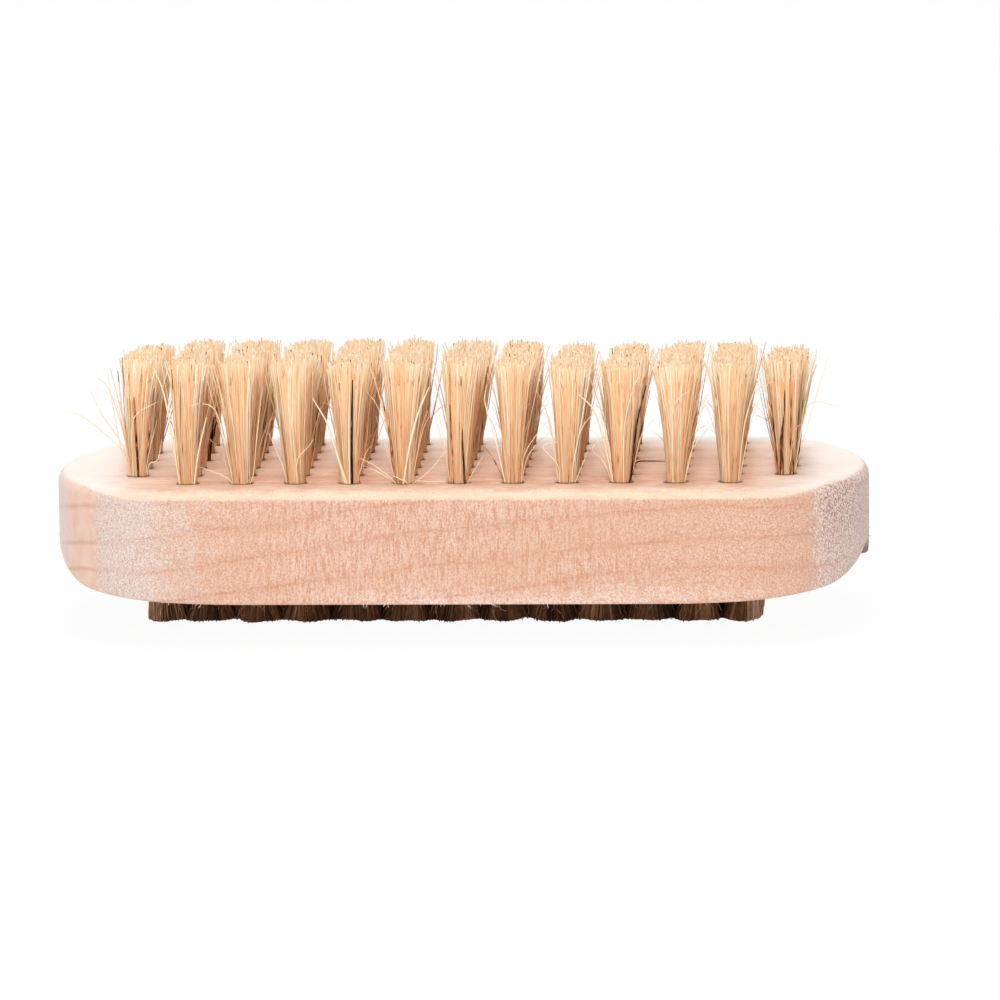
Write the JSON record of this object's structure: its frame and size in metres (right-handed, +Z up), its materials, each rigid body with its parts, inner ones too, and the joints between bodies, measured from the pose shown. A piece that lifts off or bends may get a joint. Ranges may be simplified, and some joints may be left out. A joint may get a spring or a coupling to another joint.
{
  "type": "nail brush",
  "caption": "Two-sided wooden nail brush: an oblong block with long pale bristle tufts above and a narrow strip of short dark tufts below.",
  "frame": {"origin": "under the middle of the block, on the plane of the short bristles' tips", "axes": "+X along the block, +Y across it, +Z up towards the long bristles"},
  "size_m": [0.093, 0.0396, 0.0313],
  "materials": {
    "beech_wood": "fine sanded, bare",
    "pale_bristle": "natural straw-coloured bristle, slightly glossy",
    "dark_bristle": "natural dark brown bristle, slightly glossy",
    "anchor_wire": "drawn flat wire"
  },
  "bodies": {
    "root": {"wood_block": "beech_wood", "upper_row_1": "pale_bristle", "upper_row_2": "pale_bristle", "upper_row_3": "pale_bristle", "upper_row_4": "pale_bristle", "upper_row_5": "pale_bristle", "upper_row_6": "pale_bristle", "under_row_1": "dark_bristle", "under_row_2": "dark_bristle", "upper_anchors_1": "anchor_wire", "upper_anchors_2": "anchor_wire", "upper_anchors_3": "anchor_wire", "upper_anchors_4": "anchor_wire", "upper_anchors_5": "anchor_wire", "upper_anchors_6": "anchor_wire", "under_anchors_1": "anchor_wire", "under_anchors_2": "anchor_wire"}
  },
  "joints": []
}
